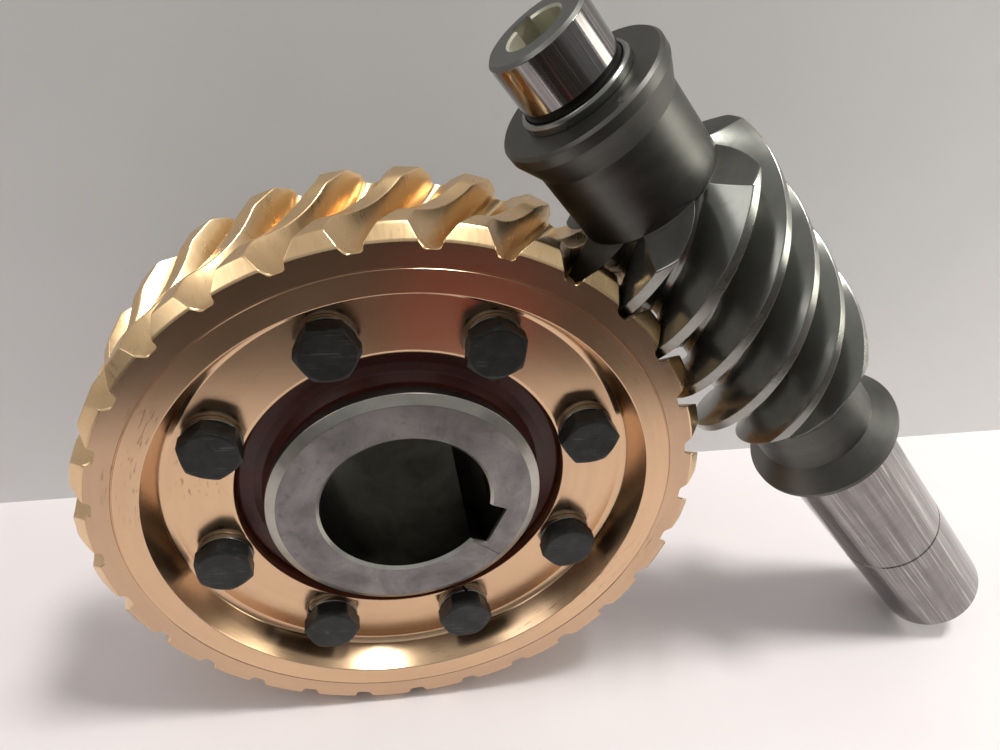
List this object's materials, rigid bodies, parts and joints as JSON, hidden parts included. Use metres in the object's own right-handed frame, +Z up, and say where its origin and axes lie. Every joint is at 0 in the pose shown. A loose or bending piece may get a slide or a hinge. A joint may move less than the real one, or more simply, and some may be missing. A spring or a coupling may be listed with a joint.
{
  "type": "worm gear set",
  "caption": "Multi-start steel worm shaft in mesh with a bronze worm wheel rim bolted to a keyed iron hub, for a right-angle speed reducer.",
  "frame": {"origin": "centre of the wheel bore at the middle of the bronze rim's width", "axes": "+Y along the wheel axis towards the nut side, so the recessed front face looks along -Y; +Z is up in the pose in which the wheel stands on its rim; the worm axis lies in the plane Y = 0 and leans 43.6 degrees from the vertical towards -X"},
  "size_m": [0.3575, 0.0827, 0.251],
  "materials": {
    "worm_steel": "ground and polished journals, dark satin thread flanks",
    "ring_steel": "satin",
    "bronze": "turned satin bronze",
    "hub_iron": "machined nose, dark red-brown primer on the casting",
    "black_oxide": "black oxide",
    "washer_steel": "plain spring steel"
  },
  "bodies": {
    "fixed_ring": {"journal_ring": "ring_steel"},
    "wheel": {"bronze_rim": "bronze", "wheel_hub": "hub_iron", "hex_bolt_1": "black_oxide", "hex_bolt_2": "black_oxide", "hex_bolt_3": "black_oxide", "hex_bolt_4": "black_oxide", "hex_bolt_5": "black_oxide", "hex_bolt_6": "black_oxide", "hex_bolt_7": "black_oxide", "hex_bolt_8": "black_oxide", "spring_washer_1": "washer_steel", "spring_washer_2": "washer_steel", "spring_washer_3": "washer_steel", "spring_washer_4": "washer_steel", "spring_washer_5": "washer_steel", "spring_washer_6": "washer_steel", "spring_washer_7": "washer_steel", "spring_washer_8": "washer_steel", "hex_nut_1": "black_oxide", "hex_nut_2": "black_oxide", "hex_nut_3": "black_oxide", "hex_nut_4": "black_oxide", "hex_nut_5": "black_oxide", "hex_nut_6": "black_oxide", "hex_nut_7": "black_oxide", "hex_nut_8": "black_oxide"},
    "worm": {"worm_shaft": "worm_steel"}
  },
  "joints": [
    {"name": "wheel_spin", "type": "hinge", "parent": "fixed_ring", "child": "wheel", "pos_m": [0, 0, 0], "axis": [0, 1, 0], "continuous": true},
    {"name": "worm_spin", "type": "hinge", "parent": "fixed_ring", "child": "worm", "pos_m": [0.08618, 0, 0.08206], "axis": [-0.6896, 0, 0.7242], "continuous": true}
  ],
  "couplings": [
    {"joint": "worm_spin", "follows": "wheel_spin", "ratio": 4.8333}
  ]
}
